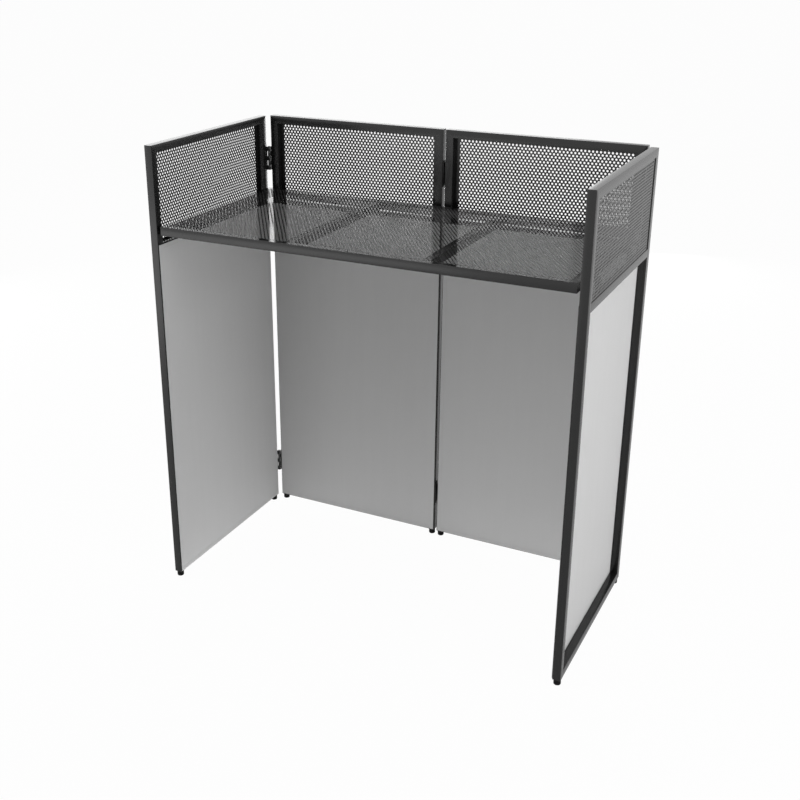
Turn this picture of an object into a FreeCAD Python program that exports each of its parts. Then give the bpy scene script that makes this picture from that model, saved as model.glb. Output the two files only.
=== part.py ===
"""Folding DJ booth: four hinged tube panels with perforated windows and scrims, round a lift-off table.

Frame: +X to the user's right, +Y away from the user towards the audience, +Z up.
The origin is on the floor, at the centre of the booth's footprint. All lengths are millimetres.
"""
import FreeCAD, Part
import math
import os

from FreeCAD import Placement, Rotation, Vector

# Steel tube: square in the panels, and as deep but a little taller in the table
tube = 20.0
tube_wall = 1.5
tube_corner = 1.2

# Panels, all four alike
panel_width = 520.0
panel_height = 1172.0
window_height = 222.0

# Perforated sheets: the holes are drawn large, each in place of a patch of the real small ones
sheet_thickness = 0.6
window_recess = 2.0
window_hole_pitch = 54.0
window_row_pitch = 40.5
window_hole = 39.0
window_side_margin = 15.0
window_end_margin = 4.0
table_hole_pitch = 76.0
table_row_pitch = 57.0
table_hole = 55.0
table_rim = 15.0

# Scrims and the hook strips behind them
scrim_thickness = 0.8
scrim_margin = 2.5
strip_thickness = 1.2
strip_width = 15.0

# Levelling feet and their tube inserts
foot_height = 15.5
foot_diameter = 18.0
foot_edge = 2.5
stem_diameter = 8.0
stem_length = 22.0
stem_clearance = 0.06
insert_length = 28.0

# Hinges
hinge_length = 65.0
hinge_inset = 85.0
hinge_barrel = 8.0
hinge_pin = 5.0
pin_clearance = 0.05
pin_standoff = 5.0
pin_head = 7.2
pin_head_height = 1.6
leaf_thickness = 2.0
leaf_relief = 0.6
leaf_setback = 3.0
knuckle_count = 5
knuckle_gap = 0.4

# Table
table_side_clearance = 7.5
table_front_setback = 5.0
table_back_clearance = 15.0
table_corner = 6.0
table_rail_height = 22.0
cross_member_share = 1.0 / 6.0

# Support brackets on the wings, which carry the table
bracket_rise = 22.4
bracket_length = 40.0
bracket_thickness = 2.5
bracket_bend = 4.0
bracket_foot = 13.5
bracket_reach = 22.0
bracket_place = 130.0

# Small round pieces are drawn with this many flats
round_flats = 12

# Places that follow from the sizes above
pin_offset = hinge_barrel / 2
corner_step = pin_offset + pin_standoff
back_half = pin_offset + panel_width
wing_inner = back_half + corner_step
depth = panel_width + corner_step + tube + pin_standoff + hinge_barrel / 2
front = -depth / 2
back_face = front + panel_width + corner_step
rail_length = panel_width - 2 * tube
window_floor = panel_height - tube - window_height
mid_rail_rise = window_floor - tube
bore = tube - 2 * tube_wall
table_half = wing_inner - table_side_clearance
table_front = front + table_front_setback
table_back = back_face - table_back_clearance
shelf_rise = window_floor + bracket_rise
table_underside = foot_height + shelf_rise
table_top = table_underside + table_rail_height

INNER = -1
OUTER = 1
START = -1
END = 1


def outline(points, corners):
    """Closed wire through the points, each corner rounded to its own radius, or sharp where that is zero."""
    edges = []
    rounded = []
    for index, point in enumerate(points):
        before = (points[index - 1] - point).normalize()
        after = (points[(index + 1) % len(points)] - point).normalize()
        radius = corners[index]
        if radius <= 0:
            rounded.append((point, point))
            continue
        half = before.getAngle(after) / 2
        reach = radius / math.tan(half)
        bisector = (before + after).normalize()
        middle = point + bisector * (radius / math.sin(half) - radius)
        entry = point + before * reach
        leave = point + after * reach
        rounded.append((entry, leave))
        edges.append(Part.Arc(entry, middle, leave).toShape())
    for index, (entry, leave) in enumerate(rounded):
        following = rounded[(index + 1) % len(rounded)][0]
        edges.append(Part.LineSegment(leave, following).toShape())
    return Part.Wire(Part.__sortEdges__(edges))


def regular_outline(centre, radius, sides):
    """Wire of a regular outline round a centre, level, with its corners on the radius and one of them at +Y."""
    turns = [math.pi / 2 + 2 * math.pi * index / sides for index in range(sides)]
    points = [centre + Vector(radius * math.cos(turn), radius * math.sin(turn)) for turn in turns]
    return Part.makePolygon(points + points[:1])


def peg(diameter, length, base):
    """Small round solid that stands on a base point."""
    return Part.Face(regular_outline(base, diameter / 2, round_flats)).extrude(Vector(0, 0, length))


def bored(piece, diameter, length, base):
    """The piece with a small round hole whose flats measure the diameter, up from a base point."""
    across_corners = diameter / math.cos(math.pi / round_flats)
    return piece.cut(peg(across_corners, length, base))


def broken_rectangle(width, height, cut):
    """Wire of a rectangle from the origin in the XY plane, with a small flat across each corner."""
    right = width - cut
    top = height - cut
    lower = [(cut, 0), (right, 0), (width, cut)]
    upper = [(width, top), (right, height), (cut, height), (0, top), (0, cut)]
    points = [Vector(x, y) for x, y in lower + upper]
    return Part.makePolygon(points + points[:1])


def rectangle(width, height, corner=0.0):
    """Wire of a rectangle from the origin in the XY plane."""
    points = [Vector(0, 0), Vector(width, 0), Vector(width, height), Vector(0, height)]
    return outline(points, [corner] * len(points))


def holed_face(wires):
    """Flat face inside the first wire, open inside the others."""
    return Part.makeFace(wires, "Part::FaceMakerBullseye")


def slab(low, high):
    """Box between two corners, given in any order on each axis."""
    base = Vector(*[min(pair) for pair in zip(low, high)])
    span = [abs(b - a) for a, b in zip(low, high)]
    return Part.makeBox(*span, base)


def prism(points, direction):
    """Solid swept from a sharp-cornered outline along a direction."""
    return Part.Face(outline(points, [0.0] * len(points))).extrude(direction)


def hollow_tube(width, height, length):
    """Hollow tube along +Z from the origin, with its section in the first quadrant of XY."""
    hollow = rectangle(width - 2 * tube_wall, height - 2 * tube_wall)
    hollow.translate(Vector(tube_wall, tube_wall))
    section = holed_face([broken_rectangle(width, height, tube_corner), hollow])
    return section.extrude(Vector(0, 0, length))


def tube_along_x(length, height):
    """Tube of a given height along +X, from the origin, with its section in the first quadrant of YZ."""
    lying = hollow_tube(tube, height, length)
    lying.Placement = Placement(Vector(), Rotation(Vector(0, 1, 0), Vector(0, 0, 1), Vector(1, 0, 0), "ZXY"))
    return lying


def tube_along_y(length, height):
    """Tube of a given height along +Y, from the origin, with its section in the first quadrant of ZX."""
    lying = hollow_tube(height, tube, length)
    lying.Placement = Placement(Vector(), Rotation(Vector(0, 0, 1), Vector(1, 0, 0), Vector(0, 1, 0), "ZXY"))
    return lying


def hole_centres(width, height, hole, pitch, row_pitch, side_margin, end_margin):
    """Centres of a staggered pattern, centred on a sheet and clear of its margins."""
    across = int((width - 2 * side_margin - hole) // pitch)
    rows = int((height - 2 * end_margin - hole) // row_pitch)
    for row in range(rows + 1):
        count = across - row % 2
        for place in range(count + 1):
            x = width / 2 + (place - count / 2) * pitch
            y = height / 2 + (row - rows / 2) * row_pitch
            yield Vector(x, y)


def perforated(width, height, corner, hole, pitch, row_pitch, side_margin, end_margin):
    """Sheet in the XY plane with its pattern of six-sided holes, one sheet thickness up."""
    centres = hole_centres(width, height, hole, pitch, row_pitch, side_margin, end_margin)
    hole_radius = hole / math.sqrt(3)
    wires = [rectangle(width, height, corner)]
    wires += [regular_outline(centre, hole_radius, 6) for centre in centres]
    return holed_face(wires).extrude(Vector(0, 0, sheet_thickness))


# A panel lies in its own frame: X along its width, Y from its inner face to its outer face, Z up from its underside

def upright(at_start):
    """Full-height tube with a mitred top, at the start or the end of a panel."""
    standing = hollow_tube(tube, tube, panel_height)
    low = tube if at_start else 0.0
    high = 0.0 if at_start else tube
    points = [
        Vector(high, 0, 0),
        Vector(high, 0, panel_height),
        Vector(low, 0, panel_height - tube),
        Vector(low, 0, 0),
    ]
    piece = standing.common(prism(points, Vector(0, tube, 0)))
    if not at_start:
        piece.translate(Vector(panel_width - tube, 0, 0))
    return piece


def top_rail():
    """Tube along the top of a panel, mitred at both ends."""
    lying = tube_along_x(panel_width, tube)
    points = [
        Vector(0, 0, tube),
        Vector(panel_width, 0, tube),
        Vector(panel_width - tube, 0, 0),
        Vector(tube, 0, 0),
    ]
    piece = lying.common(prism(points, Vector(0, tube, 0)))
    piece.translate(Vector(0, 0, panel_height - tube))
    return piece


def cross_rail(rise):
    """Tube between the uprights, butted against them."""
    piece = tube_along_x(rail_length, tube)
    piece.translate(Vector(tube, 0, rise))
    return piece


def window_sheet():
    """Perforated sheet that fills the upper window, just inside the outer face."""
    piece = perforated(
        rail_length, window_height, 0.0, window_hole, window_hole_pitch, window_row_pitch,
        window_side_margin, window_end_margin)
    place = Vector(tube, tube - window_recess, window_floor)
    piece.Placement = Placement(place, Rotation(Vector(1, 0, 0), 90))
    return piece


def scrim():
    """Fabric stretched over the lower frame, on its hook strips."""
    low = (scrim_margin, -strip_thickness - scrim_thickness, scrim_margin)
    high = (panel_width - scrim_margin, -strip_thickness, window_floor - scrim_margin)
    return slab(low, high)


def hook_strips():
    """Two long strips on the uprights and two short ones on the rails, centred on the tubes' inner faces."""
    edge = (tube - strip_width) / 2
    high = window_floor - edge
    columns = [edge, panel_width - edge - strip_width]
    rows = [edge, mid_rail_rise + edge]
    strips = []
    for column in columns:
        strips.append(slab((column, -strip_thickness, edge), (column + strip_width, 0, high)))
    for row in rows:
        low = (edge + strip_width, -strip_thickness, row)
        strips.append(slab(low, (panel_width - edge - strip_width, 0, row + strip_width)))
    return Part.makeCompound(strips)


def foot_places():
    """Centres of the two uprights' lower ends."""
    return [Vector(tube / 2, tube / 2), Vector(panel_width - tube / 2, tube / 2)]


def tube_inserts():
    """Square plugs in the lower ends of the uprights, bored for the feet's stems."""
    plugs = []
    for place in foot_places():
        plug = Part.makeBox(bore, bore, insert_length, place - Vector(bore / 2, bore / 2))
        plugs.append(bored(plug, stem_diameter + 2 * stem_clearance, insert_length, place))
    return Part.makeCompound(plugs)


def foot(place):
    """Levelling foot: a round pad with a bevelled lower edge, and a stem up into its insert."""
    base = place - Vector(0, 0, foot_height)
    pad = peg(foot_diameter, foot_height, base)
    lower_edge = [edge for edge in pad.Edges if edge.BoundBox.ZMax < base.z + foot_height / 2]
    pad = pad.makeChamfer(foot_edge, lower_edge)
    return pad.fuse(peg(stem_diameter, stem_length, place))


def bracket(place):
    """Z-shaped bracket: its foot on the mid rail, its web upright, and its shelf under the table's end rail."""
    web = tube_corner
    foot_edge_y = web + bracket_foot
    tip = -table_side_clearance - bracket_reach
    thick = bracket_thickness
    inside = bracket_bend - thick
    base = window_floor
    points = [
        Vector(0, foot_edge_y, base),
        Vector(0, foot_edge_y, base + thick),
        Vector(0, web + thick, base + thick),
        Vector(0, web + thick, shelf_rise),
        Vector(0, tip, shelf_rise),
        Vector(0, tip, shelf_rise - thick),
        Vector(0, web, shelf_rise - thick),
        Vector(0, web, base),
    ]
    corners = [0.0, 0.0, inside, bracket_bend, 0.0, 0.0, inside, bracket_bend]
    piece = Part.Face(outline(points, corners)).extrude(Vector(bracket_length, 0, 0))
    piece.translate(Vector(place - bracket_length / 2, 0, 0))
    return piece


def brackets():
    """Front and rear brackets of a wing."""
    return Part.makeCompound([bracket(bracket_place), bracket(panel_width - bracket_place)])


def hinge_rises():
    """Undersides of a panel's lower and upper hinges."""
    return [hinge_inset, panel_height - hinge_inset - hinge_length]


def pin_axis(end, face):
    """Place of a hinge's pin axis at one end of a panel, off its inner or its outer face."""
    along = panel_width + pin_offset if end == END else -pin_offset
    across = tube + pin_standoff if face == OUTER else -pin_standoff
    return Vector(along, across)


def hinge_leaf(end, face, first_knuckle, rise):
    """Plate on the end face of an upright, with every second knuckle rolled round the pin axis."""
    axis = pin_axis(end, face)
    end_face = panel_width if end == END else 0.0
    back = end_face + end * leaf_thickness
    near = tube + leaf_relief if face == OUTER else -leaf_relief
    far = leaf_setback if face == OUTER else tube - leaf_setback
    leaf = slab((end_face, near, rise), (back, far, rise + hinge_length))
    pitch = hinge_length / knuckle_count
    for knuckle in range(first_knuckle, knuckle_count, 2):
        low = rise + knuckle * pitch + knuckle_gap / 2
        height = pitch - knuckle_gap
        barrel = peg(hinge_barrel, height, axis + Vector(0, 0, low))
        tab = slab((end_face, near, low), (back, axis.y, low + height))
        leaf = leaf.fuse([barrel, tab])
    hole = hinge_pin + 2 * pin_clearance
    return bored(leaf, hole, hinge_length, axis + Vector(0, 0, rise)).removeSplitter()


def hinge_leaves(ends):
    """The upper and lower leaves at each hinged end of a panel: (end, face, first knuckle) for each end."""
    leaves = []
    for end, face, first_knuckle in ends:
        leaves += [hinge_leaf(end, face, first_knuckle, rise) for rise in hinge_rises()]
    return Part.makeCompound(leaves)


def hinge_pins(end, face):
    """Pins of the upper and lower hinges at one end of a panel, each with its head on top of the barrel."""
    length = hinge_length - knuckle_gap
    pins = []
    for rise in hinge_rises():
        base = pin_axis(end, face) + Vector(0, 0, rise + knuckle_gap / 2)
        head = peg(pin_head, pin_head_height, base + Vector(0, 0, length))
        pins.append(peg(hinge_pin, length, base).fuse(head))
    return Part.makeCompound(pins)


# The table lies in the booth's own frame

def table_long_rail(at_front):
    """Front or back rail of the table, mitred at both ends."""
    length = 2 * table_half
    lying = tube_along_x(length, table_rail_height)
    outside = 0.0 if at_front else tube
    inside = tube - outside
    points = [
        Vector(0, outside, 0),
        Vector(length, outside, 0),
        Vector(length - tube, inside, 0),
        Vector(tube, inside, 0),
    ]
    piece = lying.common(prism(points, Vector(0, 0, table_rail_height)))
    place = table_front if at_front else table_back - tube
    piece.translate(Vector(-table_half, place, table_underside))
    return piece


def table_end_rail(at_left):
    """Left or right rail of the table, mitred at both ends."""
    length = table_back - table_front
    lying = tube_along_y(length, table_rail_height)
    outside = 0.0 if at_left else tube
    inside = tube - outside
    points = [
        Vector(outside, 0, 0),
        Vector(outside, length, 0),
        Vector(inside, length - tube, 0),
        Vector(inside, tube, 0),
    ]
    piece = lying.common(prism(points, Vector(0, 0, table_rail_height)))
    place = -table_half if at_left else table_half - tube
    piece.translate(Vector(place, table_front, table_underside))
    return piece


def table_cross_member(side):
    """Tube from the front rail to the back rail, a share of the width off the middle."""
    piece = tube_along_y(table_back - table_front - 2 * tube, table_rail_height)
    middle = side * 2 * table_half * cross_member_share
    piece.translate(Vector(middle - tube / 2, table_front + tube, table_underside))
    return piece


def table_sheet():
    """Perforated sheet over the whole table frame, with rounded corners."""
    piece = perforated(
        2 * table_half, table_back - table_front, table_corner, table_hole, table_hole_pitch,
        table_row_pitch, table_rim, table_rim)
    piece.translate(Vector(-table_half, table_front, table_top))
    return piece


def place_in_booth(piece, panel):
    """Moves a piece from its panel's frame to where that panel stands."""
    bases = {
        "left_wing": (Vector(-wing_inner, front, foot_height), 90),
        "back_left": (Vector(-back_half, back_face, foot_height), 0),
        "back_right": (Vector(pin_offset, back_face, foot_height), 0),
        "right_wing": (Vector(wing_inner, front + panel_width, foot_height), -90),
    }
    base, turn = bases[panel]
    standing = piece.copy()
    standing.Placement = Placement(base, Rotation(Vector(0, 0, 1), turn)).multiply(standing.Placement)
    return standing


# Each panel's own words for its two ends, and its hinged ends: (end, face of the pin, first knuckle)
end_words = {
    "left_wing": ("front", "rear"),
    "back_left": ("outer", "centre"),
    "back_right": ("centre", "outer"),
    "right_wing": ("rear", "front"),
}
hinged_ends = {
    "left_wing": [(END, INNER, 0)],
    "back_left": [(START, INNER, 1), (END, OUTER, 0)],
    "back_right": [(START, OUTER, 1), (END, INNER, 1)],
    "right_wing": [(START, INNER, 0)],
}


def panel_pieces(panel):
    """Every piece of one panel, by node name, in the panel's own frame."""
    start, end = end_words[panel]
    feet = foot_places()
    pieces = {
        f"{start}_upright": upright(True),
        f"{end}_upright": upright(False),
        "top_rail": top_rail(),
        "mid_rail": cross_rail(mid_rail_rise),
        "bottom_rail": cross_rail(0.0),
        "window_sheet": window_sheet(),
        "scrim": scrim(),
        "hook_strips": hook_strips(),
        "tube_inserts": tube_inserts(),
        f"{start}_foot": foot(feet[0]),
        f"{end}_foot": foot(feet[1]),
        "hinge_leaves": hinge_leaves(hinged_ends[panel]),
    }
    if panel.endswith("wing"):
        pieces["table_brackets"] = brackets()
    return pieces


def build():
    """All pieces of the booth, by node name."""
    nodes = {}
    for panel in end_words:
        for name, piece in panel_pieces(panel).items():
            nodes[f"{panel}_{name}"] = place_in_booth(piece, panel)
    nodes["left_corner_hinge_pins"] = place_in_booth(hinge_pins(START, INNER), "back_left")
    nodes["centre_hinge_pins"] = place_in_booth(hinge_pins(END, OUTER), "back_left")
    nodes["right_corner_hinge_pins"] = place_in_booth(hinge_pins(END, INNER), "back_right")
    nodes["table_front_rail"] = table_long_rail(True)
    nodes["table_back_rail"] = table_long_rail(False)
    nodes["table_left_rail"] = table_end_rail(True)
    nodes["table_right_rail"] = table_end_rail(False)
    nodes["table_left_cross_member"] = table_cross_member(-1)
    nodes["table_right_cross_member"] = table_cross_member(1)
    nodes["table_sheet"] = table_sheet()
    return nodes


os.makedirs("parts", exist_ok=True)
for name, shape in build().items():
    shape.exportStep(f"parts/{name}.step")
    print(name, len(shape.Solids), "solids", round(shape.Volume), "mm3", "valid" if shape.isValid() else "INVALID")
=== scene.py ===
"""DJ booth: four folding panels round a perforated table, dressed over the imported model.

Lengths are in metres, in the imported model's frame: X to the right, Y to the back, Z up.
"""
from math import cos, radians, sin, tau

import bmesh
import bpy
from mathutils import Matrix, Vector


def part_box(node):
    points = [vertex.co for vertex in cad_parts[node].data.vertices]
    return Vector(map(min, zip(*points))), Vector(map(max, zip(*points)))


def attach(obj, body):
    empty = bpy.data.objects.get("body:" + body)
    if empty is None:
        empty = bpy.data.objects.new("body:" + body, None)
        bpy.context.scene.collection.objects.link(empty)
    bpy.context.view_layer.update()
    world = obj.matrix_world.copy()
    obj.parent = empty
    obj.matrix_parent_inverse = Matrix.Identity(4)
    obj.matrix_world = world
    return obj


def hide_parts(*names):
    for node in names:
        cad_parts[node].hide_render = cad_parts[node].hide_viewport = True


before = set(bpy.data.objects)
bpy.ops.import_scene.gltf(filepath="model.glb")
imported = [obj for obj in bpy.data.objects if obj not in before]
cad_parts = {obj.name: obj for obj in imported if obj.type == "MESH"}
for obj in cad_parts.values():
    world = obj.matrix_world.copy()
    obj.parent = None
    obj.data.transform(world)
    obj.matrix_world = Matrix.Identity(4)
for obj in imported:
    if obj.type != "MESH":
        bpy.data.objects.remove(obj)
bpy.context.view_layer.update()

# The four panels: the way to the booth's inside, and each upright with the hinge pins it meets
PANELS = {
    "left_wing": {
        "inward": (1, 0, 0),
        "uprights": {"front": None, "rear": "left_corner"},
    },
    "back_left": {
        "inward": (0, -1, 0),
        "uprights": {"outer": "left_corner", "centre": "centre"},
    },
    "back_right": {
        "inward": (0, -1, 0),
        "uprights": {"centre": "centre", "outer": "right_corner"},
    },
    "right_wing": {
        "inward": (-1, 0, 0),
        "uprights": {"rear": "right_corner", "front": None},
    },
}

# Body that each set of hinge pins rides on
PIN_BODIES = {"left_corner": "back_left", "centre": "back_left", "right_corner": "back_right"}

# Knuckles that a panel's leaf carries at each set of pins, counted from below
KNUCKLES = {
    ("left_wing", "left_corner"): (0, 2, 4),
    ("back_left", "left_corner"): (1, 3),
    ("back_left", "centre"): (0, 2, 4),
    ("back_right", "centre"): (1, 3),
    ("back_right", "right_corner"): (1, 3),
    ("right_wing", "right_corner"): (0, 2, 4),
}

# Square tube
TUBE = 0.020
TUBE_WALL = 0.0015
TUBE_CORNER = 0.0006
TUBE_CORNER_STEPS = 3
UPRIGHT_BORE = 0.040

# Perforated sheet
WINDOW_HOLE = 0.0057
TABLE_HOLE = 0.0075
HOLE_SIDES = 10
HOLE_PITCH = 0.00987
ROW_PITCH = 0.00739
WINDOW_HOLES = 46
WINDOW_ROWS = 29
TABLE_HOLES = 104
TABLE_ROWS = 65
TABLE_SEAM_ROW = 33
TABLE_CORNER_CUT = 0.0018

# Scrim
CLOTH = 0.0005
HEM_WIDTH = 0.011
HEM_FOLD = 0.00028
CLOTH_CELLS = (36, 64)
CLOTH_WAVE = 0.00012
CLOTH_SWELLS = ((9, 3), (17, -5))
STITCH = (0.0024, 0.0005, 0.0003)
STITCH_PITCH = 0.0034
STITCH_INSET = 0.0095

# Levelling foot
FOOT_RADIUS = 0.009
FOOT_HEIGHT = 0.0155
FOOT_EDGE = 0.0026
FOOT_EDGE_STEPS = 4
FOOT_SHOULDER = 0.0007
TREAD_HOLLOW = 0.0006
TREAD_REACH = (0.00405, 0.0045)
GROOVE_RISE = 0.0078
GROOVE_WIDTH = 0.0009
GROOVE_DEPTH = 0.0006
STEM_RADIUS = 0.0039
STEM_ROOT = 0.0034
STEM_LENGTH = 0.022
STEM_TIP = 0.00272
THREAD_PITCH = 0.00125
FOOT_STEPS = 32

# Hinge
HINGE_LENGTH = 0.065
KNUCKLE_COUNT = 5
KNUCKLE_GAP = 0.0004
KNUCKLE_EDGE = 0.0005
BARREL_RADIUS = 0.004
PIN_RADIUS = 0.0025
PIN_CLEARANCE = 0.00005
PIN_HEAD_RADIUS = 0.0036
PIN_HEAD = 0.0016
PIN_EDGE = 0.0005
PIN_DOME = ((1.0, 0.45), (0.82, 0.8), (0.45, 0.97), (0, 1.0))
LEAF = 0.002
LEAF_RELIEF = 0.0006
LEAF_SETBACK = 0.003
LEAF_EDGE = 0.0004
RIVET_RADIUS = 0.0027
RIVET_RISE = 0.0005
RIVET_DOME = (0.6, 0.8)
RIVET_STEPS = 16
RIVETS = 3

# Bracket screw
SCREW_RADIUS = 0.0032
SCREW_HEAD = 0.0021
SCREW_CROWN = 0.000735
SCREW_SOCKET = 0.0016
SOCKET_FLOOR = (0.00063, 0.000735)
SCREW_STEPS = 18
SCREW_SPACING = 0.022
SCREW_INSET = 0.0052
BRACKET_LENGTH = 0.040
BRACKET_THICKNESS = 0.0025

# Finishes: shares that clouds and dust shade a level to, and how far roughness strays either way
CLOUD_SHADES = (0.8, 1.25)
DUST_SHADES = (0.75, 1.35)
COAT_STRAY = 0.03
MOULD_STRAY = 0.05

# Knit of the scrims, as their finish draws it
RIB_PITCH = 0.0011
LOOP_PITCH = 0.0008
LOOP_LEAN = 0.00028
RIB_SHARE = 0.3
LOOP_SHARE = 0.2
PULL_SHARE = 0.6

# Studio: the floor glows for the camera, and less for mirrored rays that meet it near the booth, a
# painted shade of the booth on the floor as glossy faces see it
FLOOR_REACH = 60
FLOOR_DROP = 0.0003
FLOOR_PAPER = (0.9, 0.93)
FLOOR_GLOW = 0.975
NEAR_GLOW_PAINTED_SHADE = 0.3
NEAR_FLOOR = 0.4
FAR_FLOOR = 4.5
SURROUND = 0.08

# Lights: place, aim, width and height, power in watts, and whether glossy faces mirror the light
LIGHTS = {
    "overhead_softbox": ((0.4, -1.5, 3.2), (0, 0, 0.9), (3.0, 2.4), 1.0, True),
    "right_softbox": ((3.4, -0.5, 1.7), (0.4, 0, 0.75), (2.4, 2.4), 62.0, True),
    "left_softbox": ((-3.2, -1.8, 1.9), (0, 0, 0.7), (2.0, 2.4), 36.0, True),
    "floor_bounce": ((0, -0.03, 0.004), (0, -0.03, 1.0), (1.05, 0.53), 0.8, True),
    "low_softbox": ((-1.35, -2.0, 0.32), (0.1, 0.2, 0.5), (1.7, 0.56), 3.7, True),
    "fill_softbox": ((2.85, -1.2, 0.9), (0, 0, 0.7), (0.9, 1.2), 9.0, True),
    "key_softbox": ((-1.35, -3.2, 0.9), (0.1, 0.2, 0.6), (0.9, 1.4), 6.0, False),
    "rear_softbox": ((-1.0, 3.4, 0.5), (0, 0.26, 0.55), (2.2, 0.9), 60.0, True),
    "side_softbox": ((-3.4, 0.7, 0.5), (-0.55, 0, 0.55), (1.6, 0.9), 36.0, True),
    "back_softbox": ((-2.45, 4.0, 2.3), (-1.2, 0, 1.2), (3.3, 1.6), 24.0, True),
}

# Camera at the photograph's viewing angle: how far it looks down and round, in degrees
CAMERA_PLACE = (1.14057, -2.44774, 1.66786)
CAMERA_DOWN = 21.780
CAMERA_ROUND = 26.667
SENSOR = 36
LENS = 50.634
SHIFT = (0.03707, -0.02764)

# Sides of a round piece, steps of a small rounded edge, the angle from which an edge stays sharp,
# and the distance at which points join
ROUND_STEPS = 24
EDGE_STEPS = 2
SHARP_ANGLE = radians(38)
WELD = 1e-6

# Colour sockets of a Mix node, by number because others of that node have the same names
MIX_SHARE, MIX_FIRST, MIX_SECOND, MIX_RESULT = 0, 6, 7, 2


class Value:
    """A shader socket that takes part in sums."""

    def __init__(self, finish, socket):
        self.finish = finish
        self.socket = socket

    def maths(self, operation, first, second):
        """Math node on two values."""
        return self.finish.node("ShaderNodeMath", {"operation": operation}, {0: first, 1: second})

    def __add__(self, other):
        return self.maths("ADD", self, other)

    def __radd__(self, other):
        return self.maths("ADD", other, self)

    def __rsub__(self, other):
        return self.maths("SUBTRACT", other, self)

    def __mul__(self, other):
        return self.maths("MULTIPLY", self, other)

    def __rmul__(self, other):
        return self.maths("MULTIPLY", other, self)


class Finish:
    """A procedural material, put together one node at a time."""

    def __init__(self, name, tree=None):
        if tree is None:
            self.material = bpy.data.materials.new(name)
            self.material.use_nodes = True
            tree = self.material.node_tree
        tree.nodes.clear()
        self.tree = tree

    def node(self, kind, settings=None, inputs=None, output=0):
        """Add a node, set its settings and then its sockets, and give back one of its outputs."""
        made = self.tree.nodes.new(kind)
        for name, value in (settings or {}).items():
            setattr(made, name, value)
        for name, value in (inputs or {}).items():
            if isinstance(value, Value):
                self.tree.links.new(value.socket, made.inputs[name])
            else:
                made.inputs[name].default_value = value
        return Value(self, made.outputs[output]) if made.outputs else None

    def place(self):
        """Object coordinates of the shaded point."""
        return self.node("ShaderNodeTexCoord", output="Object")

    def noise(self, scale, detail, vector=None):
        """Soft noise from 0 to 1 with so many features to the metre."""
        inputs = {"Vector": vector or self.place(), "Scale": scale, "Detail": detail}
        return self.node("ShaderNodeTexNoise", inputs=inputs)

    def stretched(self, scale):
        """Object coordinates scaled by a different amount on each axis."""
        return self.node("ShaderNodeMapping", inputs={"Vector": self.place(), "Scale": scale})

    def wave(self, position, pitch):
        """Sine of a position, with one swing to each pitch."""
        return self.node("ShaderNodeMath", {"operation": "SINE"}, {0: position * (tau / pitch)})

    def mix(self, share, first, second):
        """Colour between two colours."""
        inputs = {MIX_SHARE: share, MIX_FIRST: (*first, 1), MIX_SECOND: (*second, 1)}
        return self.node("ShaderNodeMix", {"data_type": "RGBA"}, inputs, MIX_RESULT)

    def ray(self, kind):
        """One for a ray of the given kind, and otherwise nought."""
        return self.node("ShaderNodeLightPath", output=f"Is {kind} Ray")

    def bump(self, height, strength, distance):
        """Normal of a surface raised by a height from 0 to 1."""
        inputs = {"Height": height, "Strength": strength, "Distance": distance}
        return self.node("ShaderNodeBump", inputs=inputs)

    def surface(self, **sockets):
        """Close the material with a principled shader."""
        inputs = {name.replace("_", " "): value for name, value in sockets.items()}
        shader = self.node("ShaderNodeBsdfPrincipled", inputs=inputs)
        return self.close(shader)

    def close(self, shader):
        """Send a shader to the material's output."""
        self.node("ShaderNodeOutputMaterial", inputs={"Surface": shader})
        return self.material


def grey(level):
    """Neutral colour."""
    return (level, level, level)


def between(share, first, last):
    """Value that goes from a first number to a last one as a share goes from 0 to 1."""
    return first + (last - first) * share


def powder_coat(name, level, roughness, peel):
    """Black baked coat with an orange-peel skin and faint cloudy patches."""
    finish = Finish(name)
    cloud = finish.noise(scale=9.0, detail=3.0)
    skin = finish.noise(scale=620.0, detail=1.0)
    return finish.surface(
        Base_Color=finish.mix(cloud, *[grey(level * share) for share in CLOUD_SHADES]),
        Roughness=between(cloud, roughness - COAT_STRAY, roughness + COAT_STRAY),
        Normal=finish.bump(skin, strength=peel, distance=0.0002),
    )


def scrim_knit(name):
    """Pale stretch knit: fine ribs of stitches with slight pulls along the length."""
    finish = Finish(name)
    axes = finish.node("ShaderNodeSeparateXYZ", inputs={"Vector": finish.place()})
    x, y, up = [Value(finish, socket) for socket in axes.socket.node.outputs]
    rib = finish.wave(x + y, RIB_PITCH)
    loop = finish.wave(up + LOOP_LEAN * rib, LOOP_PITCH)
    stitches = 0.5 + RIB_SHARE * rib + LOOP_SHARE * loop
    pulls = finish.noise(scale=6.0, detail=3.0, vector=finish.stretched((9.0, 9.0, 0.8)))
    shade = PULL_SHARE * pulls + (1 - PULL_SHARE) * stitches
    return finish.surface(
        Base_Color=finish.mix(shade, grey(0.66), grey(0.7)),
        Roughness=between(stitches, 0.95, 0.85),
        Normal=finish.bump(stitches, strength=0.25, distance=0.0002),
        Sheen_Weight=0.08,
        Specular_IOR_Level=0.15,
    )


def sewing_thread(name):
    """Twisted pale sewing thread."""
    finish = Finish(name)
    twist = finish.noise(scale=2600.0, detail=2.0)
    return finish.surface(
        Base_Color=finish.mix(twist, grey(0.52), grey(0.66)),
        Roughness=between(twist, 0.75, 0.9),
        Normal=finish.bump(twist, strength=0.3, distance=0.0002),
    )


def hook_tape(name):
    """Black woven tape covered in tiny hooks."""
    finish = Finish(name)
    hooks = finish.node("ShaderNodeTexVoronoi", inputs={"Vector": finish.place(), "Scale": 1100.0})
    return finish.surface(
        Base_Color=finish.mix(hooks, grey(0.03), grey(0.008)),
        Roughness=between(hooks, 0.7, 0.9),
        Normal=finish.bump(1 - hooks, strength=0.8, distance=0.0006),
    )


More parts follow.
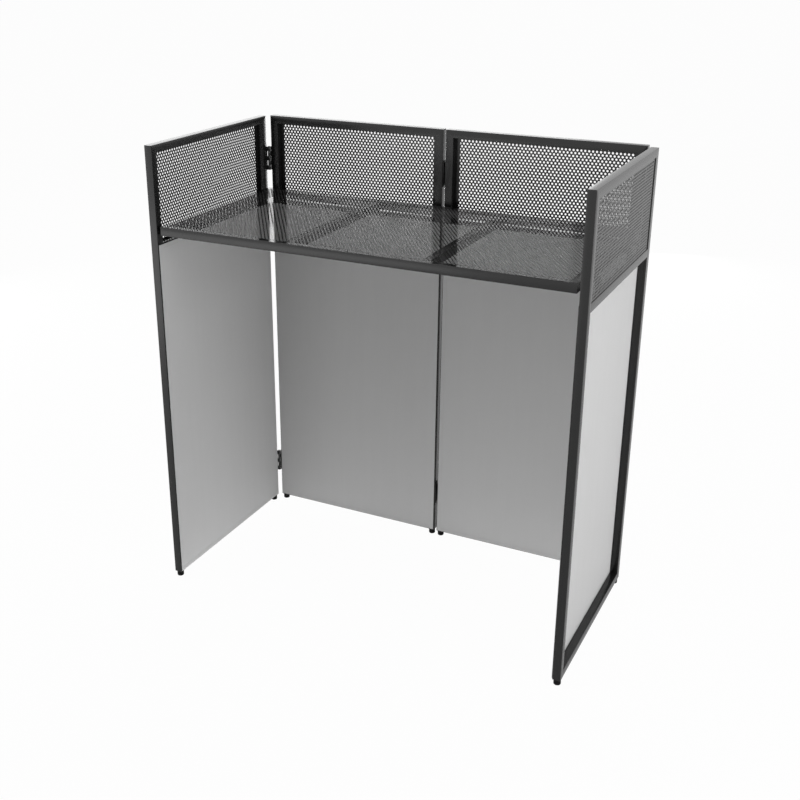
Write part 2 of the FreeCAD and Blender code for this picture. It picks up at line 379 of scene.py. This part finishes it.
def moulded(name, level, roughness, grain, shine):
    """Moulded black plastic or rubber with a fine spark grain."""
    finish = Finish(name)
    spark = finish.noise(scale=grain, detail=3.0)
    dust = finish.noise(scale=60.0, detail=3.0)
    return finish.surface(
        Base_Color=finish.mix(dust, *[grey(level * share) for share in DUST_SHADES]),
        Roughness=between(spark, roughness - MOULD_STRAY, roughness + MOULD_STRAY),
        Normal=finish.bump(spark, strength=0.25, distance=0.0003),
        Specular_IOR_Level=shine,
    )


def blackened_steel(name):
    """Steel under a thin black oxide, rubbed brighter in patches."""
    finish = Finish(name)
    rub = finish.noise(scale=240.0, detail=3.0)
    lines = finish.noise(scale=900.0, detail=1.0, vector=finish.stretched((1.0, 1.0, 0.1)))
    return finish.surface(
        Base_Color=finish.mix(rub, grey(0.05), grey(0.13)),
        Metallic=1.0,
        Roughness=between(lines, 0.3, 0.45),
        Normal=finish.bump(lines, strength=0.08, distance=0.0001),
    )


FRAME_COAT = powder_coat("frame_coat", level=0.008, roughness=0.24, peel=0.05)
SHEET_COAT = powder_coat("sheet_coat", level=0.007, roughness=0.24, peel=0.04)
TABLE_COAT = powder_coat("table_sheet_coat", level=0.007, roughness=0.09, peel=0.015)
HINGE_COAT = powder_coat("hinge_coat", level=0.011, roughness=0.3, peel=0.06)
BRACKET_COAT = powder_coat("bracket_coat", level=0.012, roughness=0.3, peel=0.06)
SCRIM_KNIT = scrim_knit("scrim_fabric")
THREAD = sewing_thread("scrim_thread")
HOOK_TAPE = hook_tape("hook_tape")
INSERT_PLASTIC = moulded("insert_plastic", level=0.014, roughness=0.5, grain=1400.0, shine=0.5)
FOOT_RUBBER = moulded("foot_rubber", level=0.005, roughness=0.5, grain=900.0, shine=0.15)
PIN_STEEL = blackened_steel("pin_steel")


def piece(name, mesh, finish, body, slot, *nodes):
    """Turn a finished mesh into a piece that rides on a body and stands for CAD nodes."""
    bmesh.ops.recalc_face_normals(mesh, faces=mesh.faces)
    data = bpy.data.meshes.new(name)
    mesh.to_mesh(data)
    mesh.free()
    data.shade_smooth()
    data.set_sharp_from_angle(angle=SHARP_ANGLE)
    data.materials.append(finish)
    made = bpy.data.objects.new(name, data)
    bpy.context.scene.collection.objects.link(made)
    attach(made, body)
    if nodes:
        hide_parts(*nodes)
    return made


def panel_plane(panel, point):
    """Matrix to the booth's frame from a panel's own axes (along, up, inward) about a point."""
    inward = Vector(PANELS[panel]["inward"])
    up = Vector((0, 0, 1))
    along = up.cross(inward)
    turn = Matrix((along, up, inward)).transposed().to_4x4()
    return Matrix.Translation(point) @ turn


def middle(node):
    """Centre of a CAD node."""
    low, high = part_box(node)
    return (low + high) / 2


def everything(mesh):
    """All the vertices, edges and faces of a mesh."""
    return mesh.verts[:] + mesh.edges[:] + mesh.faces[:]


def verts_of(geometry):
    """Vertices among the geometry that a mesh operator gives back."""
    return [item for item in geometry if isinstance(item, bmesh.types.BMVert)]


def block(mesh, one, other, edge):
    """Box between two corners, with softened edges."""
    size = Vector([abs(b - a) for a, b in zip(one, other)])
    place = Matrix.LocRotScale((Vector(one) + Vector(other)) / 2, None, size)
    cube = bmesh.ops.create_cube(mesh, size=1, matrix=place)["verts"]
    edges = {side for vert in cube for side in vert.link_edges}
    bmesh.ops.bevel(
        mesh, geom=list(edges), offset=edge, offset_type="OFFSET", segments=EDGE_STEPS, profile=0.5,
        affect="EDGES", material=-1,
    )


def turned(mesh, points, place, closed=False, steps=ROUND_STEPS):
    """Spin a profile of (radius, height) points about its axis, and set it in place."""
    before = set(mesh.verts)
    verts = [mesh.verts.new((radius, 0, height)) for radius, height in points]
    ends = verts[1:] + verts[:1] if closed else verts[1:]
    edges = [mesh.edges.new(pair) for pair in zip(verts, ends)]
    bmesh.ops.spin(
        mesh, geom=verts + edges, cent=(0, 0, 0), axis=(0, 0, 1), dvec=(0, 0, 0), angle=tau,
        steps=steps, use_merge=True,
    )
    made = [vert for vert in mesh.verts if vert not in before]
    bmesh.ops.remove_doubles(mesh, verts=made, dist=WELD)
    made = [vert for vert in mesh.verts if vert not in before]
    bmesh.ops.transform(mesh, matrix=place, verts=made)


def quarter(radius, height, size, first, steps=EDGE_STEPS):
    """Quarter round of a profile about a centre, from a first angle in degrees and turning left."""
    angles = [radians(first + 90 * step / steps) for step in range(steps + 1)]
    return [(radius + size * cos(angle), height + size * sin(angle)) for angle in angles]


# Square tubes

def mitre(point, own_way, other_way):
    """Cut at a corner point between a tube and its neighbour, from the ways they leave it."""
    return Vector(point), (Vector(other_way) - Vector(own_way)).normalized()


def square_tube(node, body, cuts=(), bored=False):
    """Square tube in a CAD tube's place, mitred by its cuts, and hollow from below if bored."""
    low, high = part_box(node)
    size = high - low
    axis = max(range(3), key=lambda i: size[i])
    mesh = bmesh.new()
    bmesh.ops.create_cube(mesh, size=1, matrix=Matrix.LocRotScale((low + high) / 2, None, size))
    long_edges = []
    for edge in mesh.edges:
        first, last = edge.verts
        if abs(first.co[axis] - last.co[axis]) > WELD:
            long_edges.append(edge)
    bmesh.ops.bevel(
        mesh, geom=long_edges, offset=TUBE_CORNER, offset_type="OFFSET", segments=TUBE_CORNER_STEPS,
        profile=0.5, affect="EDGES", material=-1,
    )
    for point, facing in cuts:
        bmesh.ops.bisect_plane(
            mesh, geom=everything(mesh), dist=WELD, plane_co=point, plane_no=facing,
            clear_outer=True,
        )
        rim = [edge for edge in mesh.edges if edge.is_boundary]
        bmesh.ops.edgeloop_fill(mesh, edges=rim)
    if bored:
        end = min(mesh.faces, key=lambda face: face.calc_center_median().z)
        bmesh.ops.inset_individual(mesh, faces=[end], thickness=TUBE_WALL, use_even_offset=True)
        inner = bmesh.ops.extrude_discrete_faces(mesh, faces=[end])["faces"]
        bmesh.ops.translate(mesh, verts=inner[0].verts, vec=(0, 0, UPRIGHT_BORE))
    piece(f"{node}_tube", mesh, FRAME_COAT, body, "frame_coat", node)


def panel_tubes(panel):
    """Uprights and rails of one panel, mitred at the two upper corners."""
    names = [f"{panel}_{end}_upright" for end in PANELS[panel]["uprights"]]
    rail = f"{panel}_top_rail"
    low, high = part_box(rail)
    along = Vector((0, 0, 1)).cross(Vector(PANELS[panel]["inward"]))
    down = Vector((0, 0, -1))
    centre = (low + high) / 2
    rail_cuts = []
    for name in names:
        way = along if (middle(name) - centre).dot(along) < 0 else -along
        corner = Vector((low.x, low.y, high.z))
        if way.x + way.y < 0:
            corner = Vector(high)
        square_tube(name, panel, [mitre(corner, down, way)], bored=True)
        rail_cuts.append(mitre(corner, way, down))
    square_tube(rail, panel, rail_cuts)
    square_tube(f"{panel}_mid_rail", panel)
    square_tube(f"{panel}_bottom_rail", panel)


def table_tubes():
    """Mitred outer rails and the two cross members of the table."""
    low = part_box("table_left_rail")[0]
    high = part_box("table_right_rail")[1]
    right, back = Vector((1, 0, 0)), Vector((0, 1, 0))
    corners = {
        "front_left": (low.x, low.y, high.z, right, back),
        "front_right": (high.x, low.y, high.z, -right, back),
        "back_left": (low.x, high.y, high.z, right, -back),
        "back_right": (high.x, high.y, high.z, -right, -back),
    }
    for side in ("front", "back", "left", "right"):
        cuts = []
        for corner, (x, y, z, across, along) in corners.items():
            if side in corner.split("_"):
                ways = (across, along) if side in ("front", "back") else (along, across)
                cuts.append(mitre((x, y, z), *ways))
        square_tube(f"table_{side}_rail", "table", cuts)
    for side in ("left", "right"):
        square_tube(f"table_{side}_cross_member", "table")


# Perforated sheets

def hole_cell(mesh, hole):
    """One hole in its brick of sheet, with points where the bricks of the next rows meet it."""
    side, row = HOLE_PITCH / 2, ROW_PITCH / 2
    points = [(-side, -row), (0, -row), (side, -row), (side, row), (0, row), (-side, row)]
    verts = [mesh.verts.new((x, y, 0)) for x, y in points]
    for pair in zip(verts, verts[1:] + verts[:1]):
        mesh.edges.new(pair)
    flats_up = Matrix.Rotation(tau / HOLE_SIDES / 2, 4, "Z")
    bmesh.ops.create_circle(mesh, segments=HOLE_SIDES, radius=hole / 2, matrix=flats_up)
    bmesh.ops.triangle_fill(mesh, use_beauty=True, edges=mesh.edges[:], normal=(0, 0, 1))


def copied(mesh, geometry, move):
    """Copy part of a mesh to another place."""
    made = bmesh.ops.duplicate(mesh, geom=geometry)["geom"]
    bmesh.ops.translate(mesh, verts=verts_of(made), vec=move)
    return made


def cut_end(mesh, cell, end, side):
    """Half brick at one end of a short row, whose hole is cut in two by the plain rim."""
    made = copied(mesh, cell, (side * end, 0, 0))
    halved = bmesh.ops.bisect_plane(
        mesh, geom=made, dist=WELD, plane_co=(side * end, 0, 0), plane_no=(side, 0, 0),
        clear_outer=True,
    )
    below, above = sorted(verts_of(halved["geom_cut"]), key=lambda vert: abs(vert.co.y))[:2]
    mesh.edges.new((below, above))


def hole_row(mesh, cell, holes, short):
    """Geometry of a row as wide as so many holes; a short row has half a hole at each end."""
    known = set(mesh.verts)
    count = holes - 1 if short else holes
    for place in range(count):
        copied(mesh, cell, ((place - (count - 1) / 2) * HOLE_PITCH, 0, 0))
    if short:
        for side in (-1, 1):
            cut_end(mesh, cell, holes * HOLE_PITCH / 2, side)
    fresh = [vert for vert in mesh.verts if vert not in known]
    edges = {edge for vert in fresh for edge in vert.link_edges}
    faces = {face for vert in fresh for face in vert.link_faces}
    return [*fresh, *edges, *faces]


def plain_rim(mesh, reach, width, height):
    """Solid margin from the edge of a field of holes out to the sheet's full size."""
    rim = []
    for edge in mesh.edges:
        mid = (edge.verts[0].co + edge.verts[1].co) / 2
        if abs(mid.x) > reach.x - WELD or abs(mid.y) > reach.y - WELD:
            rim.append(edge)
    made = bmesh.ops.extrude_edge_only(mesh, edges=rim)["geom"]
    grow = (width / 2 / reach.x, height / 2 / reach.y, 1)
    bmesh.ops.scale(mesh, vec=grow, verts=verts_of(made))


def perforated(hole, holes, rows, width, height):
    """Flat sheet of staggered holes with a plain rim, centred on the origin."""
    mesh = bmesh.new()
    hole_cell(mesh, hole)
    cell = everything(mesh)
    kinds = [hole_row(mesh, cell, holes, short) for short in (False, True)]
    for row in range(rows):
        copied(mesh, kinds[row % 2], (0, (row - (rows - 1) / 2) * ROW_PITCH, 0))
    spent = [vert for geometry in (cell, *kinds) for vert in verts_of(geometry)]
    bmesh.ops.delete(mesh, geom=spent, context="VERTS")
    bmesh.ops.remove_doubles(mesh, verts=mesh.verts, dist=WELD)
    plain_rim(mesh, Vector((holes * HOLE_PITCH / 2, rows * ROW_PITCH / 2)), width, height)
    return mesh


def thicken(mesh, thickness):
    """Give a flat sheet its thickness, centred on its own plane."""
    bmesh.ops.translate(mesh, verts=mesh.verts, vec=(0, 0, -thickness / 2))
    made = bmesh.ops.extrude_face_region(mesh, geom=mesh.faces[:])["geom"]
    bmesh.ops.translate(mesh, verts=verts_of(made), vec=(0, 0, thickness))


def window_sheet(panel):
    """Perforated sheet in the upper window of one panel."""
    node = f"{panel}_window_sheet"
    low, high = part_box(node)
    size = high - low
    mesh = perforated(WINDOW_HOLE, WINDOW_HOLES, WINDOW_ROWS, max(size.x, size.y), size.z)
    thicken(mesh, min(size.x, size.y))
    bmesh.ops.transform(mesh, matrix=panel_plane(panel, middle(node)), verts=mesh.verts)
    piece(f"{panel}_window_mesh", mesh, SHEET_COAT, panel, "sheet_coat", node)


def table_sheet():
    """Perforated top of the table, in a front and a rear piece that meet between two rows."""
    low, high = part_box("table_sheet")
    size = high - low
    whole = perforated(TABLE_HOLE, TABLE_HOLES, TABLE_ROWS, size.x, size.y)
    for vert in whole.verts:
        if abs(vert.co.x) > size.x / 2 - WELD and abs(vert.co.y) > size.y / 2 - WELD:
            vert.co.x -= TABLE_CORNER_CUT if vert.co.x > 0 else -TABLE_CORNER_CUT
            vert.co.y -= TABLE_CORNER_CUT if vert.co.y > 0 else -TABLE_CORNER_CUT
    seam = (TABLE_SEAM_ROW - TABLE_ROWS / 2) * ROW_PITCH
    for name, side in (("front", 1), ("rear", -1)):
        mesh = whole.copy()
        spare = [face for face in mesh.faces if side * (face.calc_center_median().y - seam) > 0]
        bmesh.ops.delete(mesh, geom=spare, context="FACES")
        thicken(mesh, size.z)
        bmesh.ops.translate(mesh, verts=mesh.verts, vec=middle("table_sheet"))
        piece(f"table_sheet_{name}", mesh, TABLE_COAT, "table", "table_sheet_coat", "table_sheet")
    whole.free()


# Scrims

def hemmed_cloth(width, height):
    """Cloth with slight swells, lying on the plane of its axes, and a hem folded over on top."""
    mesh = bmesh.new()
    across, up = CLOTH_CELLS
    place = Matrix.Diagonal((width, height, 1, 1))
    bmesh.ops.create_grid(mesh, x_segments=across, y_segments=up, size=0.5, matrix=place)
    inner = (width / 2 - HEM_WIDTH, height / 2 - HEM_WIDTH)
    for axis, reach in enumerate(inner):
        for side in (-1, 1):
            facing = Vector((0, 0, 0))
            facing[axis] = side
            bmesh.ops.bisect_plane(
                mesh, geom=everything(mesh), dist=WELD, plane_co=reach * facing, plane_no=facing,
            )
    for vert in mesh.verts:
        x, y = vert.co.xy
        if abs(x) < inner[0] - WELD and abs(y) < inner[1] - WELD:
            swell = sum(sin(along * x + rise * y) for along, rise in CLOTH_SWELLS)
            vert.co.z += CLOTH_WAVE * swell
    top = bmesh.ops.extrude_face_region(mesh, geom=mesh.faces[:])["geom"]
    bmesh.ops.translate(mesh, verts=verts_of(top), vec=(0, 0, CLOTH))
    hem = []
    for face in top:
        if isinstance(face, bmesh.types.BMFace):
            mid = face.calc_center_median()
            if abs(mid.x) > inner[0] or abs(mid.y) > inner[1]:
                hem.append(face)
    fold = bmesh.ops.extrude_face_region(mesh, geom=hem)["geom"]
    bmesh.ops.translate(mesh, verts=verts_of(fold), vec=(0, 0, HEM_FOLD))
    bmesh.ops.delete(mesh, geom=hem, context="FACES")
    return mesh


def hem_stitches(width, height):
    """Row of stitches on top of the hem, along all four sides of the cloth."""
    mesh = bmesh.new()
    length, breadth, crown = STITCH
    spans = ((breadth, length, crown), (length, breadth, crown))
    reach = (width / 2 - STITCH_INSET, height / 2 - STITCH_INSET)
    for axis in (0, 1):
        count = int(2 * reach[1 - axis] / STITCH_PITCH)
        for side in (-1, 1):
            for stitch in range(count):
                along = (stitch - (count - 1) / 2) * STITCH_PITCH
                spot = [along, along, CLOTH + HEM_FOLD]
                spot[axis] = side * reach[axis]
                place = Matrix.LocRotScale(spot, None, spans[axis])
                bmesh.ops.create_cube(mesh, size=1, matrix=place)
    return mesh


def scrim(panel):
    """Stretched cloth on the inner side of a panel, with its hem turned inwards and stitched."""
    node = f"{panel}_scrim"
    low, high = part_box(node)
    size = high - low
    width, height = max(size.x, size.y), size.z
    outer_face = Matrix.Translation((0, 0, -min(size.x, size.y) / 2))
    plane = panel_plane(panel, middle(node)) @ outer_face
    knit = hemmed_cloth(width, height)
    bmesh.ops.transform(knit, matrix=plane, verts=knit.verts)
    cloth = piece(f"{panel}_scrim_cloth", knit, SCRIM_KNIT, panel, "scrim_fabric", node)
    sewn = hem_stitches(width, height)
    bmesh.ops.transform(sewn, matrix=plane, verts=sewn.verts)
    stitches = piece(f"{panel}_scrim_stitches", sewn, THREAD, panel, "scrim_fabric")


# Levelling feet

def foot(panel, end):
    """Rubber pad with a rounded tread edge and a groove, on a threaded stem."""
    node = f"{panel}_{end}_foot"
    low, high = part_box(node)
    groove = GROOVE_RISE + GROOVE_WIDTH
    inset = FOOT_RADIUS - GROOVE_DEPTH
    hollow, rim = TREAD_REACH
    points = [(0, TREAD_HOLLOW), (hollow, TREAD_HOLLOW), (rim, 0)]
    points += quarter(FOOT_RADIUS - FOOT_EDGE, FOOT_EDGE, FOOT_EDGE, -90, FOOT_EDGE_STEPS)
    points += [(FOOT_RADIUS, GROOVE_RISE), (inset, GROOVE_RISE)]
    points += [(inset, groove), (FOOT_RADIUS, groove)]
    points += quarter(FOOT_RADIUS - FOOT_SHOULDER, FOOT_HEIGHT - FOOT_SHOULDER, FOOT_SHOULDER, 0)
    points.append((STEM_ROOT, FOOT_HEIGHT))
    turns = int(STEM_LENGTH / THREAD_PITCH) - 1
    for turn in range(turns):
        rise = FOOT_HEIGHT + (turn + 0.5) * THREAD_PITCH
        points += [(STEM_ROOT, rise), (STEM_RADIUS, rise + THREAD_PITCH / 2)]
    points += [(STEM_ROOT, FOOT_HEIGHT + STEM_LENGTH - THREAD_PITCH / 2)]
    points += [(STEM_TIP, FOOT_HEIGHT + STEM_LENGTH), (0, FOOT_HEIGHT + STEM_LENGTH)]
    centre = (low + high) / 2
    mesh = bmesh.new()
    turned(mesh, points, Matrix.Translation((centre.x, centre.y, low.z)), steps=FOOT_STEPS)
    piece(f"{node}_pad", mesh, FOOT_RUBBER, node, "foot_rubber", node)


# Hinges

def pin_axes(pins):
    """Place of a set of hinge pins in plan, and the undersides of its two hinges."""
    low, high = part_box(f"{pins}_hinge_pins")
    bottom = low.z - KNUCKLE_GAP / 2
    top = high.z - PIN_HEAD + KNUCKLE_GAP / 2 - HINGE_LENGTH
    return (low + high) / 2, (bottom, top)


def knuckle_points(bottom, top):
    """Profile of a bored knuckle with softened rims."""
    bore = PIN_RADIUS + PIN_CLEARANCE
    edge = BARREL_RADIUS - KNUCKLE_EDGE
    points = [(bore, top), (bore, bottom)]
    points += quarter(edge, bottom + KNUCKLE_EDGE, KNUCKLE_EDGE, -90)
    return points + quarter(edge, top - KNUCKLE_EDGE, KNUCKLE_EDGE, 0)


def rivet_points():
    """Profile of a low domed rivet that is sunk half way into its leaf."""
    reach, rise = RIVET_DOME
    dome = [(0, RIVET_RISE), (RIVET_RADIUS * reach, RIVET_RISE * rise)]
    return dome + [(RIVET_RADIUS, 0), (RIVET_RADIUS, -LEAF / 2), (0, -LEAF / 2)]


def hinge_leaves(panel):
    """Leaves on the end faces of a panel's uprights, with their knuckles and rivets."""
    mesh = bmesh.new()
    inward = Vector(PANELS[panel]["inward"])
    along_axis = 0 if inward.x == 0 else 1
    across_axis = 1 - along_axis
    pitch = HINGE_LENGTH / KNUCKLE_COUNT
    for end, pins in PANELS[panel]["uprights"].items():
        if pins is None:
            continue
        axis, rises = pin_axes(pins)
        low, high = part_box(f"{panel}_{end}_upright")
        centre = (low + high) / 2
        way = 1 if axis[along_axis] > centre[along_axis] else -1
        side = 1 if axis[across_axis] > centre[across_axis] else -1
        face = (high if way > 0 else low)[along_axis]
        near = (high if side > 0 else low)[across_axis]
        for rise in rises:
            corners = [[0, 0, rise], [0, 0, rise + HINGE_LENGTH]]
            corners[0][along_axis] = face
            corners[1][along_axis] = face + way * LEAF
            corners[0][across_axis] = near - side * (TUBE - LEAF_SETBACK)
            corners[1][across_axis] = near + side * LEAF_RELIEF
            block(mesh, *corners, LEAF_EDGE)
            for knuckle in KNUCKLES[panel, pins]:
                bottom = rise + knuckle * pitch + KNUCKLE_GAP / 2
                top = bottom + pitch - KNUCKLE_GAP
                corners[0][across_axis] = near - side * LEAF_RELIEF
                corners[1][across_axis] = axis[across_axis] - side * PIN_RADIUS
                corners[0][2], corners[1][2] = bottom, top
                block(mesh, *corners, LEAF_EDGE)
                barrel = Matrix.Translation((axis.x, axis.y, 0))
                turned(mesh, knuckle_points(bottom, top), barrel, closed=True)
            facing = Vector((0, 0, 0))
            facing[along_axis] = way
            turn = facing.to_track_quat("Z", "Y").to_matrix().to_4x4()
            for rivet in range(RIVETS):
                spot = Vector((0, 0, rise + (rivet + 0.5) * HINGE_LENGTH / RIVETS))
                spot[along_axis] = face + way * LEAF
                spot[across_axis] = near - side * (TUBE - LEAF_SETBACK) / 2
                turned(mesh, rivet_points(), Matrix.Translation(spot) @ turn, steps=RIVET_STEPS)
    piece(f"{panel}_hinge_plates", mesh, HINGE_COAT, panel, "hinge_coat", f"{panel}_hinge_leaves")


def hinge_pins(pins):
    """Two pins with domed heads, one through each hinge of a joint."""
    mesh = bmesh.new()
    axis, rises = pin_axes(pins)
    for underside in rises:
        bottom = underside + KNUCKLE_GAP / 2
        top = bottom + HINGE_LENGTH - KNUCKLE_GAP
        seat = top + PIN_CLEARANCE
        points = [(0, bottom)]
        points += quarter(PIN_RADIUS - PIN_EDGE, bottom + PIN_EDGE, PIN_EDGE, -90)
        points += [(PIN_RADIUS, seat), (PIN_HEAD_RADIUS, seat)]
        points += [(PIN_HEAD_RADIUS * reach, top + PIN_HEAD * rise) for reach, rise in PIN_DOME]
        turned(mesh, points, Matrix.Translation((axis.x, axis.y, 0)))
    node = f"{pins}_hinge_pins"
    piece(f"{node}_turned", mesh, PIN_STEEL, PIN_BODIES[pins], "pin_steel", node)


# Bracket screws

def bracket_screws(wing):
    """Socket screws that hold a wing's two table brackets down to its mid rail."""
    low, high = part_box(f"{wing}_table_brackets")
    outer = low.x + SCREW_INSET if wing == "left_wing" else high.x - SCREW_INSET
    base = low.z + BRACKET_THICKNESS
    middle_floor, side_floor = SOCKET_FLOOR
    points = [(0, middle_floor), (SCREW_SOCKET, side_floor), (SCREW_SOCKET, SCREW_HEAD)]
    points += [(SCREW_RADIUS - SCREW_CROWN, SCREW_HEAD), (SCREW_RADIUS, SCREW_HEAD - SCREW_CROWN)]
    points += [(SCREW_RADIUS, 0), (0, 0)]
    mesh = bmesh.new()
    for centre in (low.y + BRACKET_LENGTH / 2, high.y - BRACKET_LENGTH / 2):
        for side in (-1, 1):
            spot = (outer, centre + side * SCREW_SPACING / 2, base)
            turned(mesh, points, Matrix.Translation(spot), steps=SCREW_STEPS)
    piece(f"{wing}_bracket_screws", mesh, PIN_STEEL, wing, "pin_steel")


# The booth

for panel in PANELS:
    panel_tubes(panel)
    window_sheet(panel)
    scrim(panel)
    hinge_leaves(panel)
    for end in PANELS[panel]["uprights"]:
        foot(panel, end)
for pins in PIN_BODIES:
    hinge_pins(pins)
for wing in ("left_wing", "right_wing"):
    bracket_screws(wing)
table_tubes()
table_sheet()

# CAD pieces that are shown as they are, in their finishes
KEPT = {"hook_strips": HOOK_TAPE, "tube_inserts": INSERT_PLASTIC, "table_brackets": BRACKET_COAT}
for name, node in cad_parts.items():
    for ending, finish in KEPT.items():
        if name.endswith(ending):
            node.material_slots[0].material = finish


# Studio

def studio_floor():
    """Wide pale floor that keeps the booth's shadow, reads white behind it, and is painted darker
    near the booth for mirrored rays.
    """
    mesh = bmesh.new()
    bmesh.ops.create_grid(mesh, x_segments=1, y_segments=1, size=FLOOR_REACH)
    bmesh.ops.translate(mesh, verts=mesh.verts, vec=(0, 0, -FLOOR_DROP))
    data = bpy.data.meshes.new("studio_floor")
    mesh.to_mesh(data)
    mesh.free()
    finish = Finish("studio_floor")
    place = finish.place()
    away = finish.node("ShaderNodeVectorMath", {"operation": "LENGTH"}, {0: place}, "Value")
    painted_shade_ramp = {
        "From Min": NEAR_FLOOR, "From Max": FAR_FLOOR, "To Min": NEAR_GLOW_PAINTED_SHADE, "To Max": FLOOR_GLOW,
    }
    # Painted shade: the glow that mirrored rays see is dimmed near the booth, in place of the
    # booth's shadow on the floor
    mirrored = finish.node("ShaderNodeMapRange", inputs={"Value": away, **painted_shade_ramp})
    seen = FLOOR_GLOW * finish.ray("Camera")
    seen = seen + mirrored * (finish.ray("Glossy") + finish.ray("Transmission"))
    paper = finish.noise(scale=0.7, detail=2.0)
    tint = finish.mix(paper, *[grey(level) for level in FLOOR_PAPER])
    matt = finish.node("ShaderNodeBsdfDiffuse", inputs={"Color": tint})
    glow = finish.node("ShaderNodeEmission", inputs={"Strength": 1.0})
    shown = finish.node("ShaderNodeMixShader", inputs={"Fac": seen, 1: matt, 2: glow})
    data.materials.append(finish.close(shown))
    floor = bpy.data.objects.new("studio_floor", data)
    bpy.context.scene.collection.objects.link(floor)


def softbox(name, place, target, size, power, mirrored):
    """Rectangular soft light aimed at a point, which glossy faces may mirror."""
    data = bpy.data.lights.new(name, "AREA")
    data.shape = "RECTANGLE"
    data.size, data.size_y = size
    data.energy = power
    lamp = bpy.data.objects.new(name, data)
    lamp.visible_glossy = mirrored
    lamp.location = place
    lamp.rotation_euler = (Vector(target) - Vector(place)).to_track_quat("-Z", "Y").to_euler()
    bpy.context.scene.collection.objects.link(lamp)


def studio_world():
    """Even surround that the camera sees as white."""
    world = bpy.data.worlds.new("studio")
    world.use_nodes = True
    surround = Finish("studio", world.node_tree)
    seen = surround.ray("Camera") + surround.ray("Glossy") + surround.ray("Transmission")
    strength = SURROUND + (1 - SURROUND) * seen
    sockets = {"Color": (1, 1, 1, 1), "Strength": strength}
    light = surround.node("ShaderNodeBackground", inputs=sockets)
    surround.node("ShaderNodeOutputWorld", inputs={"Surface": light})
    bpy.context.scene.world = world


studio_world()
studio_floor()
for name, settings in LIGHTS.items():
    softbox(name, *settings)


# Camera

view = bpy.data.cameras.new("camera")
view.sensor_width = SENSOR
view.lens = LENS
view.shift_x, view.shift_y = SHIFT
camera = bpy.data.objects.new("camera", view)
camera.location = CAMERA_PLACE
camera.rotation_euler = (radians(90 - CAMERA_DOWN), 0, radians(CAMERA_ROUND))
bpy.context.scene.collection.objects.link(camera)
bpy.context.scene.camera = camera
bpy.context.scene.view_settings.view_transform = "Standard"
